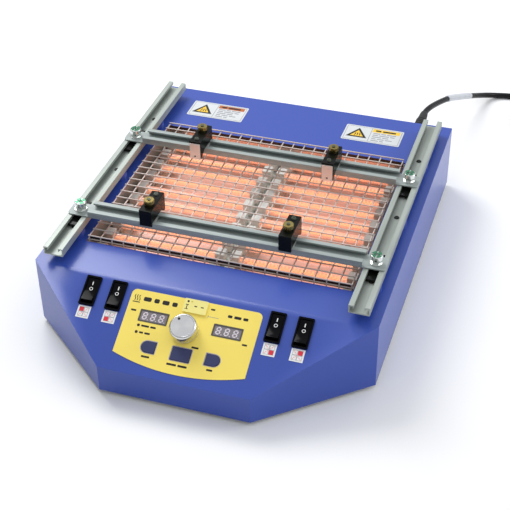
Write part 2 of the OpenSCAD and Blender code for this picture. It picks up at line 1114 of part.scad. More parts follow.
// A closed tube along points of the route
module swept_tube(path, r) {
    n = len(path);
    polyhedron(
        points = [for (i = [0 : n - 1]) each tube_ring(path, i, r)],
        faces = concat(
            [[for (j = [0 : cord_sides - 1]) j]],
            [for (i = [0 : n - 2]) for (j = [0 : cord_sides - 1])
                [i * cord_sides + j, (i + 1) * cord_sides + j,
                 (i + 1) * cord_sides + (j + 1) % cord_sides,
                 i * cord_sides + (j + 1) % cord_sides]],
            [[for (j = [cord_sides - 1 : -1 : 0]) (n - 1) * cord_sides + j]]));
}

module power_cord() {
    color("black")
    swept_tube(tube_path(0, len(cord_route) - 1, 2), cord_d / 2);
}

module cord_tag() {
    color("white")
    swept_tube(tube_path(tag_from, tag_to, 2), cord_d / 2 + 0.7);
}

module cord_coil() {
    color("black")
    translate([coil_x, coil_y, 0])
        rotate_extrude($fn = 96)
            translate([coil_r - cord_d, 0])
                square([2 * cord_d, coil_h]);
}

// Moulded plug with two flat blades and a round earth pin, lying beside the coil
module mains_plug() {
    color("black")
    translate([coil_x + coil_turn_r, coil_y - 10, 12])
        rotate([90, 0, 0]) {
            cylinder(h = 22, r = cord_d / 2 + 0.2);
            translate([0, 0, 20])
                cylinder(h = 26, r1 = 5, r2 = 7.5);
            translate([0, 0, 46])
                linear_extrude(34)
                    polygon(round_rect(27, 24, 6));
            for (side = [-1, 1])
                translate([side * 6.35, 3, 79])
                    block([1.5, 6.3, 17]);
            translate([0, -8.5, 79])
                cylinder(h = 18, r = 2.4);
        }
}

top_cover();
base_plate();
rubber_feet();
machine_screws();
heater_tray();
heat_shield();
centre_bracket();
quartz_tubes();
heater_coils();
ceramic_holders();
guard_grid();
control_overlay();
zone_stickers();
rear_labels();
display_left();
display_right();
indicator_leds();
thermocouple_socket();
rocker_frames();
rocker_1();
rocker_2();
rocker_3();
rocker_4();
start_button();
mode_button();
unit_button();
knob();
encoder_shaft();
encoder();
control_board();
power_board();
board_standoffs();
heat_sink();
rail_left();
rail_right();
crossbar_front();
crossbar_rear();
slide_nuts_front();
slide_nuts_rear();
lock_screw_fl();
lock_screw_fr();
lock_screw_rl();
lock_screw_rr();
clamp_body_fl();
clamp_body_fr();
clamp_body_rl();
clamp_body_rr();
clamp_steel_fl();
clamp_steel_fr();
clamp_steel_rl();
clamp_steel_rr();
thumb_nut_fl();
thumb_nut_fr();
thumb_nut_rl();
thumb_nut_rr();
strain_relief();
power_cord();
cord_tag();
cord_coil();
mains_plug();
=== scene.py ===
import json
import math

import bmesh
import bpy
from mathutils import Matrix, Vector

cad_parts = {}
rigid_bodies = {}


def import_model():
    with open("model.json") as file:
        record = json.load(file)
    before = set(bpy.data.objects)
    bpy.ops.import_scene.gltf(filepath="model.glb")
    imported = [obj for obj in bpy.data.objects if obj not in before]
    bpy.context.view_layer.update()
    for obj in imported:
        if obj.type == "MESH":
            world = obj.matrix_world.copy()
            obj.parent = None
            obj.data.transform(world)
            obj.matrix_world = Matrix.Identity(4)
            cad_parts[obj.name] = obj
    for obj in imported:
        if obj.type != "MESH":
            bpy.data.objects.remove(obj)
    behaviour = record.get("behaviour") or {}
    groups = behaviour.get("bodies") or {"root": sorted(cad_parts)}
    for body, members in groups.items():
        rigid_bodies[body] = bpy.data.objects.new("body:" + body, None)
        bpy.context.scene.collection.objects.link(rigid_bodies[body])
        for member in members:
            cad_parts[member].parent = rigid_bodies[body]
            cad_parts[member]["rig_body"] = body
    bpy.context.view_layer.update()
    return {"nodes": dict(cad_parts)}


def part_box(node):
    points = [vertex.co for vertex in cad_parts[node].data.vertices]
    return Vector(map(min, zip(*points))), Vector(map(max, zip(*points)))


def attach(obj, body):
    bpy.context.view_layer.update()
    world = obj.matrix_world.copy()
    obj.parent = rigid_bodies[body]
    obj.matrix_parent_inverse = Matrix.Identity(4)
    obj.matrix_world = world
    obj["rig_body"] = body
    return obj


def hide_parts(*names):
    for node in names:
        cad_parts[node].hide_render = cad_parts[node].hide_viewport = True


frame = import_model()
nodes = frame["nodes"]
scene = bpy.context.scene
MM = 0.001
CHASSIS = "chassis"

# ------------------------------------------------------------------ camera


# The picture's camera: angles in degrees, lens and sensor in mm, places in metres
CAMERA_ANGLES = (18.432, 37.259, -0.914)
CAMERA_LENS = 85.61
CAMERA_SENSOR = 36
CAMERA_TARGET = Vector((0.0181, -0.0254, 0.045))
CAMERA_DISTANCE = 1.4525


def solved_camera():
    """A camera that looks at the target from an azimuth and an elevation, with a slight roll."""
    az, el, roll = (math.radians(a) for a in CAMERA_ANGLES)
    back = Vector((math.sin(az) * math.cos(el), -math.cos(az) * math.cos(el), math.sin(el)))
    right = (-back).cross(Vector((0, 0, 1))).normalized()
    up = right.cross(-back)
    x = right * math.cos(roll) + up * math.sin(roll)
    y = up * math.cos(roll) - right * math.sin(roll)
    place = CAMERA_TARGET + back * CAMERA_DISTANCE
    data = bpy.data.cameras.new("camera")
    data.sensor_width = CAMERA_SENSOR
    data.lens = CAMERA_LENS
    data.clip_end = 30
    cam = bpy.data.objects.new("camera", data)
    scene.collection.objects.link(cam)
    rows = [[x[i], y[i], back[i], place[i]] for i in range(3)]
    cam.matrix_world = Matrix(rows + [[0, 0, 0, 1]])
    scene.camera = cam


solved_camera()

# ------------------------------------------------------------------ materials


BUMP_DEPTH = 0.0002


def shade_ends(t, place, colour, target, near, far, tint, axis="X"):
    """Mixes a colour towards tint where the distance from 0 along the axis goes from near to far."""
    axes = t.nodes.new("ShaderNodeSeparateXYZ")
    t.links.new(place.outputs["Object"], axes.inputs["Vector"])
    out = t.nodes.new("ShaderNodeMath")
    out.operation = "ABSOLUTE"
    t.links.new(axes.outputs[axis], out.inputs[0])
    span = t.nodes.new("ShaderNodeMapRange")
    span.inputs["From Min"].default_value = near
    span.inputs["From Max"].default_value = far
    t.links.new(out.outputs["Value"], span.inputs["Value"])
    mix = t.nodes.new("ShaderNodeMix")
    mix.data_type = "RGBA"
    mix.inputs[7].default_value = (*tint, 1)
    t.links.new(span.outputs["Result"], mix.inputs[0])
    t.links.new(colour, mix.inputs[6])
    t.links.new(mix.outputs[2], target)


def material(name, colour, rough=0.4, metal=0.0, vary=0.06, grain=60.0, bump=0.0, bump_grain=400.0,
             stretch=(1, 1, 1), rough_vary=0.08, coat=0.0, coat_rough=0.12, glow=None, glow_power=0.0,
             alpha=1.0, spec=0.5, ends=None):
    """A surface whose colour and roughness follow one noise and whose bump follows a finer one."""
    m = bpy.data.materials.new(name)
    m.use_nodes = True
    t = m.node_tree
    b = t.nodes["Principled BSDF"]
    b.inputs["Metallic"].default_value = metal
    b.inputs["Coat Weight"].default_value = coat
    b.inputs["Coat Roughness"].default_value = coat_rough
    b.inputs["Specular IOR Level"].default_value = spec
    b.inputs["Alpha"].default_value = alpha
    if glow:
        b.inputs["Emission Color"].default_value = (*glow, 1)
        b.inputs["Emission Strength"].default_value = glow_power
    place = t.nodes.new("ShaderNodeTexCoord")
    scale = t.nodes.new("ShaderNodeMapping")
    scale.inputs["Scale"].default_value = stretch
    t.links.new(place.outputs["Object"], scale.inputs["Vector"])

    def noise(size, detail=3.0):
        n = t.nodes.new("ShaderNodeTexNoise")
        n.inputs["Scale"].default_value = size
        n.inputs["Detail"].default_value = detail
        t.links.new(scale.outputs["Vector"], n.inputs["Vector"])
        return n

    n = noise(grain)
    ramp = t.nodes.new("ShaderNodeValToRGB")
    lo, hi = ramp.color_ramp.elements
    lo.position, hi.position = 0.3, 0.7
    lo.color = (*[c * (1 - vary) for c in colour], 1)
    hi.color = (*[min(1.0, c * (1 + vary)) for c in colour], 1)
    t.links.new(n.outputs["Fac"], ramp.inputs["Fac"])
    if ends:
        shade_ends(t, place, ramp.outputs["Color"], b.inputs["Base Color"], *ends)
    else:
        t.links.new(ramp.outputs["Color"], b.inputs["Base Color"])
    span = t.nodes.new("ShaderNodeMapRange")
    span.inputs["To Min"].default_value = max(0.02, rough - rough_vary)
    span.inputs["To Max"].default_value = min(1.0, rough + rough_vary)
    t.links.new(n.outputs["Fac"], span.inputs["Value"])
    t.links.new(span.outputs["Result"], b.inputs["Roughness"])
    if bump:
        f = noise(bump_grain, 2.0)
        u = t.nodes.new("ShaderNodeBump")
        u.inputs["Strength"].default_value = bump
        u.inputs["Distance"].default_value = BUMP_DEPTH
        t.links.new(f.outputs["Fac"], u.inputs["Height"])
        t.links.new(u.outputs["Normal"], b.inputs["Normal"])
    return m


blue = material("case_blue", (0.034, 0.077, 0.40), 0.38, vary=0.03, grain=8, bump=0.1,
                bump_grain=900, rough_vary=0.04, spec=0.28, coat=0.42, coat_rough=0.2)
zinc = material("zinc_steel", (0.62, 0.63, 0.61), 0.34, 1.0, bump=0.1, bump_grain=300,
                stretch=(1, 8, 1))
# Painted reflection and painted shade: the pinkish base colour stands in for the glowing tubes
# reflected in the steel, and past 134 to 142 mm from the middle the tray is mixed darker as painted
# shade where the glow doesn't reach
tray_steel = material("tray_steel", (0.74, 0.60, 0.55), 0.36, 0.6, vary=0.08, grain=25, bump=0.15,
                      bump_grain=120, stretch=(1, 12, 1), ends=(0.134, 0.142, (0.46, 0.43, 0.39)))
rubber = material("foot_rubber", (0.018, 0.018, 0.018), 0.62, bump=0.2)
# Painted light: the glass itself glows faintly orange and is tinted pink, standing in for the coils'
# light scattered in the tubes
quartz = material("quartz_glass", (1.0, 0.70, 0.58), 0.14, vary=0.04, alpha=0.5,
                  glow=(1.0, 0.40, 0.24), glow_power=0.26, spec=0.7)
coil_wire = material("heater_wire", (1.0, 0.45, 0.16), 0.5, glow=(1.0, 0.44, 0.17), glow_power=1.4)
# Painted shade: from 60 to 100 mm out from the middle the holders are mixed towards a darker
# brown-grey, standing in for the ends that the heater glow doesn't reach
steatite = material("steatite", (0.74, 0.76, 0.72), 0.7, vary=0.14, grain=120, bump=0.25,
                    bump_grain=500, ends=(0.06, 0.10, (0.52, 0.48, 0.44)))
# The plated grey is tinted warm pink as painted light, standing in for the heater glow on the wires
plated = material("plated_wire", (0.62, 0.55, 0.51), 0.52, 0.4, bump=0.05)
# Near-black, used only for the guard's end strips: painted shade
rim_painted_shade = material("rim_painted_shade_steel", (0.050, 0.034, 0.026), 0.5, 0.7, vary=0.3, grain=90)
bracket_steel = material("bracket_steel", (0.46, 0.48, 0.45), 0.45, 0.7, vary=0.1, grain=60)
yellow = material("overlay_yellow", (0.98, 0.775, 0.14), 0.42, vary=0.02, grain=30, bump=0.12,
                  bump_grain=1800)
label = material("rear_label_white", (0.64, 0.665, 0.675), 0.45, vary=0.02, bump=0.05)
sleeve = material("sleeve_white", (0.60, 0.62, 0.66), 0.4, vary=0.06, grain=90, bump=0.1)
header_brown = material("ink_brown", (0.46, 0.115, 0.018), 0.45)
oxide = material("black_oxide", (0.035, 0.036, 0.034), 0.36, 0.7, vary=0.2, grain=200)
white = material("label_white", (0.86, 0.86, 0.85), 0.45, vary=0.02, bump=0.05)
ink = material("ink", (0.016, 0.015, 0.014), 0.5, vary=0.2, spec=0.3)
pink = material("ink_pink", (0.86, 0.42, 0.46), 0.5)
ink_grey = material("ink_grey", (0.30, 0.30, 0.32), 0.55, vary=0.1)
red = material("ink_red", (0.72, 0.02, 0.04), 0.45)
amber = material("ink_amber", (0.88, 0.55, 0.03), 0.45)
window = material("display_grey", (0.22, 0.195, 0.205), 0.2, vary=0.08, coat=0.3)
bezel = material("display_frame", (0.07, 0.065, 0.06), 0.35)
digit = material("display_digit", (0.72, 0.65, 0.70), 0.25, vary=0.05, coat=0.3)
led = material("led_red", (0.022, 0.008, 0.008), 0.2, coat=0.3)
cream = material("socket_cream", (0.93, 0.83, 0.27), 0.4, vary=0.03, bump=0.08)
gloss_black = material("switch_black", (0.004, 0.004, 0.005), 0.14, vary=0.15, bump=0.04, spec=0.05)
navy = material("key_navy", (0.022, 0.03, 0.115), 0.42, vary=0.1, bump=0.1, bump_grain=1200)
key_edge = material("key_edge", (0.42, 0.38, 0.50), 0.45)
turned = material("turned_aluminium", (0.83, 0.83, 0.82), 0.2, 1.0, vary=0.03)
green = material("board_green", (0.02, 0.12, 0.05), 0.3)
brass = material("brass", (0.36, 0.28, 0.095), 0.22, 1.0, bump=0.06)
rail_metal = material("rail_aluminium", (0.385, 0.425, 0.39), 0.42, 0.35, vary=0.13, grain=150,
                      bump=0.12, bump_grain=500, stretch=(1, 0.05, 1))
bar_metal = material("bar_aluminium", (0.335, 0.38, 0.365), 0.45, 0.2, vary=0.13, grain=150,
                     bump=0.12, bump_grain=500, stretch=(0.05, 1, 1))
black_metal = material("black_metal", (0.005, 0.006, 0.005), 0.2, vary=0.15, bump=0.08, spec=0.13)
jaw = material("jaw_steel", (0.78, 0.77, 0.74), 0.36, 0.55, bump=0.08,
               ends=(0.1316, 0.1326, (0.085, 0.10, 0.075), "Z"))
chrome = material("chrome", (0.72, 0.74, 0.72), 0.12, 1.0, vary=0.03, bump=0.03)
green_zinc = material("green_zinc", (0.075, 0.27, 0.15), 0.22, 0.75, vary=0.12, grain=300)
jacket = material("cord_black", (0.005, 0.005, 0.006), 0.26, vary=0.15, bump=0.1, spec=0.22)

# ------------------------------------------------------------------ small helpers

# The panel's frame: x across, y up the slope from its top edge, z out of it. s is -y, in mm
SLOPE_DROP, SLOPE_RUN = 50.4, 95.6
PANEL = (Matrix.Translation((0, -0.1609, 0.089))
         @ Matrix.Rotation(math.atan2(SLOPE_DROP, SLOPE_RUN), 4, "X"))
SWITCH_X = (-123, -92, 92, 123)
SWITCH_S = 24
STICKER_S = 49.8
DISPLAY_X, DISPLAY_S = 42.5, 40.2
KNOB_X, KNOB_S = -3, 48.5
OVERLAY_TOP = 0.5


def add_mesh(name, bm, mat, body=CHASSIS, place=None, smooth=None):
    """Turns a bmesh into a piece that rides on a body; smooth is the sharp angle in degrees."""
    mesh = bpy.data.meshes.new(name)
    bmesh.ops.recalc_face_normals(bm, faces=bm.faces)
    bm.to_mesh(mesh)
    bm.free()
    mesh.materials.append(mat)
    if smooth:
        mesh.shade_smooth()
        mesh.set_sharp_from_angle(angle=math.radians(smooth))
    o = bpy.data.objects.new(name, mesh)
    scene.collection.objects.link(o)
    if place is not None:
        o.matrix_world = place
    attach(o, body)
    return o


def prism(bm, points, low, high):
    """A flat-bottomed prism over a plane outline, in mm."""
    lower = [bm.verts.new((x * MM, y * MM, low * MM)) for x, y in points]
    upper = [bm.verts.new((x * MM, y * MM, high * MM)) for x, y in points]
    bm.faces.new(list(reversed(lower)))
    bm.faces.new(upper)
    n = len(points)
    for i in range(n):
        j = (i + 1) % n
        bm.faces.new((lower[i], lower[j], upper[j], upper[i]))


def box_points(x, y, w, h, r=0.0, n=4):
    """A rectangle's outline about its middle, with rounded corners where r is given."""
    if r <= 0:
        return [(x + sx * w / 2, y + sy * h / 2) for sx, sy in ((1, 1), (-1, 1), (-1, -1), (1, -1))]
    out = []
    for k, (sx, sy) in enumerate(((1, 1), (-1, 1), (-1, -1), (1, -1))):
        for i in range(n + 1):
            a = math.radians(90 * k + 90 * i / n)
            out.append((x + sx * (w / 2 - r) + r * math.cos(a), y + sy * (h / 2 - r) + r * math.sin(a)))
    return out


def disc_points(x, y, r, n=24):
    return [(x + r * math.cos(2 * math.pi * i / n), y + r * math.sin(2 * math.pi * i / n))
            for i in range(n)]


def ring(bm, outer, inner, low, high):
    """A flat band between two outlines with the same number of points, in mm."""
    n = len(outer)
    level = [[bm.verts.new((x * MM, y * MM, z * MM)) for x, y in pts]
             for pts, z in ((outer, low), (outer, high), (inner, high), (inner, low))]
    for a in range(4):
        p, q = level[a], level[(a + 1) % 4]
        for i in range(n):
            j = (i + 1) % n
            bm.faces.new((p[i], p[j], q[j], q[i]))


def marks(name, shapes, mat, low, high, place=PANEL):
    """Thin printed shapes between two heights in mm, all in one piece."""
    bm = bmesh.new()
    for shape in shapes:
        prism(bm, shape, low, high)
    add_mesh(name, bm, mat, place=place)


def lathe(bm, profile, n=64, wave=None):
    """Turns a profile of (radius, height) in mm about the local Z axis. wave(i, k) adds to a radius."""
    rings = []
    for k, (r, z) in enumerate(profile):
        if r < 1e-6:
            rings.append([bm.verts.new((0, 0, z * MM))])
            continue
        pts = []
        for i in range(n):
            a = 2 * math.pi * i / n
            q = (r + (wave(i, k) if wave else 0)) * MM
            pts.append(bm.verts.new((q * math.cos(a), q * math.sin(a), z * MM)))
        rings.append(pts)
    for p, q in zip(rings, rings[1:]):
        if len(p) == 1 and len(q) == 1:
            continue
        for i in range(n):
            j = (i + 1) % n
            if len(p) == 1:
                bm.faces.new((p[0], q[j], q[i]))
            elif len(q) == 1:
                bm.faces.new((p[i], p[j], q[0]))
            else:
                bm.faces.new((p[i], p[j], q[j], q[i]))
    if profile[0] == profile[-1]:
        return
    for end in (rings[0], rings[-1]):
        if len(end) > 1:
            bm.faces.new(end)


def tube(bm, path, radius, sides=12, closed=False):
    """A round bar along points in metres; radius is a number or one per point, in metres."""
    n = len(path)
    path = [Vector(p) for p in path]
    t0 = (path[1] - path[0]).normalized()
    side = t0.cross(Vector((0, 0, 1)))
    if side.length < 0.01:
        side = t0.cross(Vector((0, 1, 0)))
    side.normalize()
    rings = []
    for i, p in enumerate(path):
        if closed:
            t = (path[(i + 1) % n] - path[i - 1]).normalized()
        else:
            t = (path[min(i + 1, n - 1)] - path[max(i - 1, 0)]).normalized()
        side = (side - t * side.dot(t)).normalized()
        up = side.cross(t)
        r = radius[i] if isinstance(radius, (list, tuple)) else radius
        rings.append([bm.verts.new(p + side * (r * math.cos(2 * math.pi * k / sides))
                                   + up * (r * math.sin(2 * math.pi * k / sides)))
                      for k in range(sides)])
    pairs = list(zip(rings, rings[1:])) + ([(rings[-1], rings[0])] if closed else [])
    for p, q in pairs:
        for k in range(sides):
            j = (k + 1) % sides
            bm.faces.new((p[k], p[j], q[j], q[k]))
    if not closed:
        bm.faces.new(rings[0])
        bm.faces.new(list(reversed(rings[-1])))


def rounded(node, mat, width, segments=2, min_len=1.0):
    """Stands for a CAD node: the same solids with their sharp edges rounded over."""
    src = nodes[node]
    bm = bmesh.new()
    bm.from_mesh(src.data)
    bmesh.ops.remove_doubles(bm, verts=bm.verts, dist=2e-6)
    bmesh.ops.dissolve_limit(bm, angle_limit=math.radians(0.6), verts=bm.verts, edges=bm.edges)
    edges = [e for e in bm.edges if len(e.link_faces) == 2 and e.calc_length() > min_len * MM
             and e.calc_face_angle(0) > math.radians(28)]
    bmesh.ops.bevel(bm, geom=edges, offset=width * MM, segments=segments, profile=0.5,
                    affect="EDGES", clamp_overlap=True)
    o = add_mesh("v_" + node, bm, mat, src["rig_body"], smooth=35)
    w = o.modifiers.new("normals", "WEIGHTED_NORMAL")
    w.keep_sharp = True
    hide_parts(node)


def paint(node, mat):
    """Gives a CAD node that keeps its shape a finished material."""
    nodes[node].data.materials.clear()
    nodes[node].data.materials.append(mat)


# ------------------------------------------------------------------ power cord

# The free cord's route in mm, from the back wall down to the floor and along it to the coil
ROUTE = [(153, 257, 73), (153, 284, 73), (153, 311, 73), (156, 330, 71), (160, 348, 67),
         (165, 367, 62), (171, 388, 56), (176, 405, 49.5), (181, 422, 42), (187, 439, 35),
         (194, 457, 27), (203, 479, 17), (215, 499, 8.5), (230, 510, 4.4), (248, 514, 4),
         (270, 514, 4), (300, 514, 4), (328, 514, 4)]
COIL = (332, 463)
# Radius and height of each turn of the coil, in mm
TURNS = [(51, 4), (43, 4), (43, 12), (43, 20), (51, 20), (51, 12)]
COIL_TURNS = 5.25
TURN_STEPS = 40
# The part of a turn after which the cord steps over to the next one
STEP_START = 0.72
# The last points, straight into the plug
PLUG_LEAD = [(383, y, 12) for y in (457, 450, 443, 436)]


def spline(pts, steps):
    """A smooth line through the points, with a number of steps between each two."""
    out = []
    for k in range(len(pts) - 1):
        a, b = Vector(pts[max(k - 1, 0)]), Vector(pts[k])
        c, d = Vector(pts[k + 1]), Vector(pts[min(k + 2, len(pts) - 1)])
        for j in range(steps):
            t = j / steps
            out.append(0.5 * (2 * b + (c - a) * t + (2 * a - 5 * b + 4 * c - d) * t * t
                              + (3 * b - a - 3 * c + d) * t * t * t))
    return out + [Vector(pts[-1])]


def cord_line():
    """The cord's centre line in metres: the route, the coil's turns and the lead to the plug."""
    line = spline(ROUTE, 3)
    last = len(TURNS) - 1
    for i in range(1, int(COIL_TURNS * TURN_STEPS) + 1):
        u = i / TURN_STEPS
        k = min(int(u), last)
        f = max(0.0, (u - k - STEP_START) / (1 - STEP_START))
        f = f * f * (3 - 2 * f)
        r0, z0 = TURNS[k]
        r1, z1 = TURNS[min(k + 1, last)]
        a = math.radians(90 - 360 * u)
        r, z = r0 + (r1 - r0) * f, z0 + (z1 - z0) * f
        line.append(Vector((COIL[0] + r * math.cos(a), COIL[1] + r * math.sin(a), z)))
    line += [Vector(p) for p in PLUG_LEAD]
    return [p * MM for p in line]


LINE = cord_line()
curve = bpy.data.curves.new("flex", "CURVE")
curve.dimensions = "3D"
curve.bevel_depth = 0.004
curve.bevel_resolution = 5
curve.use_fill_caps = True
path = curve.splines.new("POLY")
path.points.add(len(LINE) - 1)
for point, p in zip(path.points, LINE):
    point.co = (*p, 1)
curve.materials.append(jacket)
flex = bpy.data.objects.new("flex", curve)
scene.collection.objects.link(flex)
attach(flex, CHASSIS)
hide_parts("power_cord", "cord_coil")


def relief_piece():
    """Strain relief: a flanged bush in the wall with six ribs and a tapered sleeve behind it."""
    bm = bmesh.new()
    outline = [(4.1, -4.5), (8.6, -4.5), (9, -4.1), (9, -1.5), (6.5, -1.5), (6.5, 0), (9, 0),
               (9.5, 0.5), (9.5, 2.5), (9, 3), (7.8, 3.4)]
    for k in range(6):
        z = 5 + 4.4 * k
        r = 7.5 - 0.07 * k
        outline += [(r, z), (r, z + 2.6), (r - 0.9, z + 3.0), (r - 0.9, z + 3.9)]
    outline += [(7.1, 31.6), (6.9, 33), (6.1, 33.6), (5.8, 42), (5.3, 50), (4.9, 53), (4.1, 53),
                (4.1, -4.5)]
    lathe(bm, outline, 40)
    bmesh.ops.remove_doubles(bm, verts=bm.verts, dist=1e-7)
    place = Matrix.Translation((0.153, 0.2565, 0.073)) @ Matrix.Rotation(math.radians(-90), 4, "X")
    o = add_mesh("relief", bm, rubber, CHASSIS, place, smooth=40)
    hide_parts("strain_relief")
    return o


def tag_piece():
    """White sleeve around the cord, from the seventh route point to the eleventh."""
    pts = spline(ROUTE, 6)[6 * 6:6 * 10 + 1]
    bm = bmesh.new()
    radii = [0.0047] * len(pts)
    radii[0] = radii[-1] = 0.0044
    tube(bm, [p * MM for p in pts], radii, 24)
    o = add_mesh("sleeve_tag", bm, sleeve, CHASSIS, smooth=40)
    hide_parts("cord_tag")
    return o


def tie_piece():
    """A strap 12 mm wide around all the coil's turns, at one side of it."""
    bm = bmesh.new()
    centre = Vector((*COIL, 0))
    side = math.radians(200)
    out = Vector((math.cos(side), math.sin(side), 0))
    along = Vector((-math.sin(side), math.cos(side), 0))
    loop = []
    for x, z, first in ((51, 20, 0), (43, 20, 90), (43, 4, 180), (51, 4, 270)):
        for i in range(6):
            a = math.radians(first + 18 * i)
            loop.append((x + 4 * math.cos(a), z + 4 * math.sin(a)))
    for r, z in loop:
        for w in (-6, 6):
            bm.verts.new((centre + out * r + along * w + Vector((0, 0, z))) * MM)
    bm.verts.ensure_lookup_table()
    n = len(loop)
    for i in range(n):
        j = (i + 1) % n
        bm.faces.new([bm.verts[k] for k in (2 * i, 2 * i + 1, 2 * j + 1, 2 * j)])
    o = add_mesh("coil_tie", bm, jacket, CHASSIS, smooth=40)
    thick = o.modifiers.new("thick", "SOLIDIFY")
    thick.thickness = 0.0009
    thick.offset = -1
    return o


def plug_piece():
    """Moulded plug: ribbed neck, rounded body with finger grips, two blades and an earth pin."""
    place = Matrix.Translation((0.383, 0.453, 0.012)) @ Matrix.Rotation(math.radians(90), 4, "X")
    bm = bmesh.new()
    # Height, half width, half depth and squareness (1 is an ellipse) of each cross-section
    stages = [(16, 4.4, 4.4, 1.0), (18, 5.2, 5.2, 1.0), (24, 5.8, 5.8, 1.0), (38, 6.9, 6.9, 1.0),
              (44, 7.6, 7.4, 0.9), (48, 11.2, 10.2, 0.62), (52, 13.0, 11.6, 0.5),
              (60, 12.2, 11.2, 0.5), (68, 12.6, 11.6, 0.48), (77, 13.4, 12.0, 0.45),
              (79.2, 13.2, 11.8, 0.45), (80, 12.4, 11.0, 0.45)]
    rings = []
    n = 48
    for z, a, b, e in stages:
        row = []
        for i in range(n):
            t = 2 * math.pi * i / n
            c, s = math.cos(t), math.sin(t)
            row.append(bm.verts.new((a * math.copysign(abs(c) ** e, c) * MM,
                                     b * math.copysign(abs(s) ** e, s) * MM, z * MM)))
        rings.append(row)
    for p, q in zip(rings, rings[1:]):
        for i in range(n):
            j = (i + 1) % n
            bm.faces.new((p[i], p[j], q[j], q[i]))
    bm.faces.new(rings[0])
    bm.faces.new(rings[-1])
    o = add_mesh("plug", bm, jacket, CHASSIS, place, smooth=40)
    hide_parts("mains_plug")
    pins = bmesh.new()
    for x in (-6.35, 6.35):
        prism(pins, box_points(x, 3, 1.5, 6.3), 79, 95)
        prism(pins, box_points(x, 3, 1.1, 5.6), 95, 96)
    prism(pins, disc_points(0, -8.5, 2.4), 79, 96)
    p = add_mesh("plug_pins", pins, jaw, CHASSIS, place, smooth=40)
    return o, p


relief = relief_piece()
tag = tag_piece()
tie = tie_piece()
plug, pins = plug_piece()

# ------------------------------------------------------------------ case and hidden parts

rounded("top_cover", blue, 1.3, 3, 6.0)
rounded("machine_screws", oxide, 0.25, 2, 0.6)
for name in ("base_plate", "heat_shield"):
    paint(name, zinc)
paint("centre_bracket", bracket_steel)
paint("heater_tray", tray_steel)
rounded("rubber_feet", rubber, 0.5, 2, 0.8)
for name in ("control_board", "power_board"):
    paint(name, green)
paint("board_standoffs", brass)
paint("heat_sink", turned)
paint("encoder", turned)
paint("encoder_shaft", turned)

# ------------------------------------------------------------------ heater

# Heater sizes in mm: the window's middle, the rows' pitch and the tubes' height
WINDOW_Y = 23
ROW_PITCH = 26
TUBE_Z = 68
ROWS = [WINDOW_Y + (k - 4.5) * ROW_PITCH for k in range(10)]
COIL_FROM, COIL_TO = 22, 136
COIL_R = 2.3
WINDINGS, WINDING_STEPS = 26, 14


def heater():
    """Twenty quartz tubes, each with a wound wire and a straight lead at either end."""
    glass, wire = bmesh.new(), bmesh.new()
    for side in (-1, 1):
        for y in ROWS:
            tube(glass, [(side * x * MM, y * MM, TUBE_Z * MM) for x in (8, 150)], 0.005, 20)
            pts = []
            n = WINDINGS * WINDING_STEPS
            for i in range(n + 1):
                a = 2 * math.pi * i / WINDING_STEPS
                x = COIL_FROM + (COIL_TO - COIL_FROM) * i / n
                pts.append((side * x * MM, (y + COIL_R * math.cos(a)) * MM,
                            (TUBE_Z + COIL_R * math.sin(a)) * MM))
            tube(wire, pts, 0.0006, 6)
            for lead in ((4, COIL_FROM), (COIL_TO, 154)):
                tube(wire, [(side * x * MM, y * MM, TUBE_Z * MM) for x in lead], 0.0005, 8)
    g = add_mesh("quartz", glass, quartz, smooth=40)
    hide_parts("quartz_tubes")
    w = add_mesh("coils", wire, coil_wire, smooth=60)
    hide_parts("heater_coils")


heater()
rounded("ceramic_holders", steatite, 0.6, 2, 3.0)


# Guard sizes in mm: half the outer wires' spacing each way and the number of wires
GUARD_X, GUARD_Y = 156.5, 131
LONG_WIRES, CROSS_WIRES = 23, 20
WIRE_R = 0.82 * MM
# A long wire's bent-down end: distance in from its outer face, and height
WIRE_END = [(0, 86.6), (0, 91.8), (0.6, 93.0), (1.8, 93.5)]
CROSS_Z = 95.1


def guard():
    """Round plated wires, crossing one over the other, bent down at the front and back."""
    bm = bmesh.new()
    y0, y1 = WINDOW_Y - GUARD_Y, WINDOW_Y + GUARD_Y
    bend = [(y0 + inset, z) for inset, z in WIRE_END] + [(y1 - inset, z) for inset, z in WIRE_END[::-1]]
    for i in range(LONG_WIRES):
        x = -GUARD_X + 2 * GUARD_X * i / (LONG_WIRES - 1)
        tube(bm, [(x * MM, y * MM, z * MM) for y, z in bend], WIRE_R, 10)
    for i in range(CROSS_WIRES):
        y = y0 + (y1 - y0) * i / (CROSS_WIRES - 1)
        tube(bm, [(x * MM, y * MM, CROSS_Z * MM) for x in (-157.4, 157.4)], WIRE_R, 10)
    for y in (y0 + 1.8, y1 - 1.8):
        tube(bm, [(x * MM, y * MM, 88.5 * MM) for x in (-158.9, 158.9)], 0.0009, 10)
    o = add_mesh("guard_wires", bm, plated, smooth=40)
    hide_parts("guard_grid")
    # Painted shade: a thin near-black strip stands at the front and at the back just inside the bent
    # wire ends, where the flange there lies in shade
    rims = bmesh.new()
    for y in (y0 + 2.4, y1 - 2.4):
        prism(rims, box_points(0, y, 314, 0.6), 86.2, 92.6)
    add_mesh("guard_rims", rims, rim_painted_shade)


guard()

# ------------------------------------------------------------------ control panel

paint("control_overlay", yellow)
rounded("thermocouple_socket", cream, 0.5, 2, 1.5)
paint("indicator_leds", led)
for name in ("display_left", "display_right"):
    paint(name, window)
rounded("rocker_frames", gloss_black, 0.5, 3, 1.0)
for name in ("start_button", "mode_button", "unit_button"):
    rounded(name, navy, 0.35, 2, 0.8)


